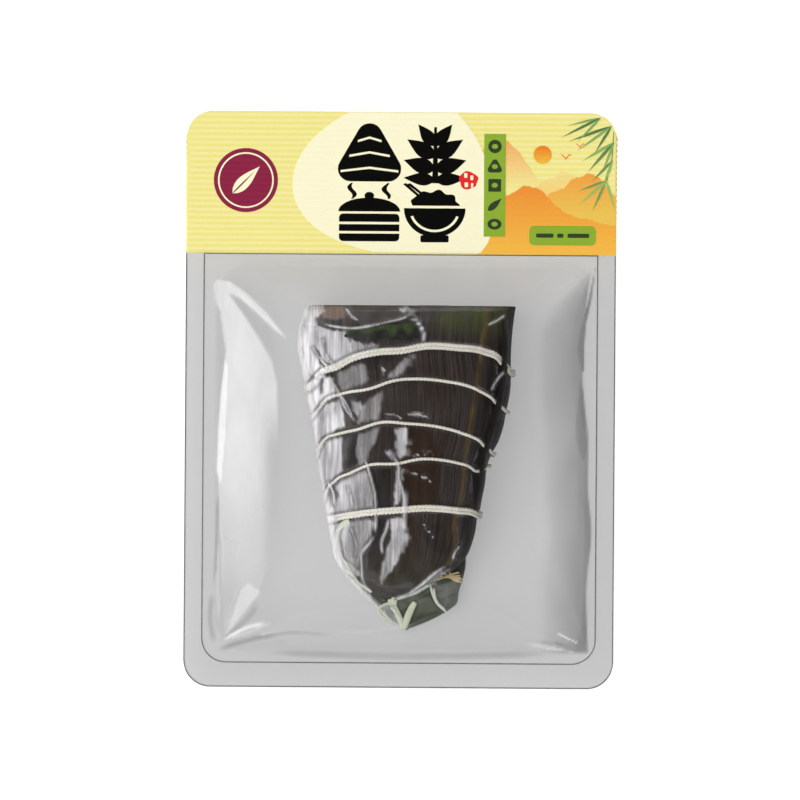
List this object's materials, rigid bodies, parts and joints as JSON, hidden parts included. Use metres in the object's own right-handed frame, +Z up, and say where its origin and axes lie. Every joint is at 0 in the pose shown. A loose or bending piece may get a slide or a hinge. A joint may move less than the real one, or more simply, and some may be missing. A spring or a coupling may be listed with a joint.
{
  "type": "zongzi rice dumpling in a sealed display pouch",
  "caption": "Leaf-wrapped, string-tied sticky rice dumpling vacuum packed and sealed in a clear pouch with a printed header.",
  "frame": {"origin": "on the table, under the middle of the pouch's box", "axes": "+X to the right seen from the printed side, +Y towards the header, +Z up out of the printed side"},
  "size_m": [0.134, 0.1794, 0.041],
  "materials": {
    "clear_film": "clear glossy packaging film"
  },
  "bodies": {
    "root": {"sealed_pouch": "clear_film"}
  },
  "joints": []
}
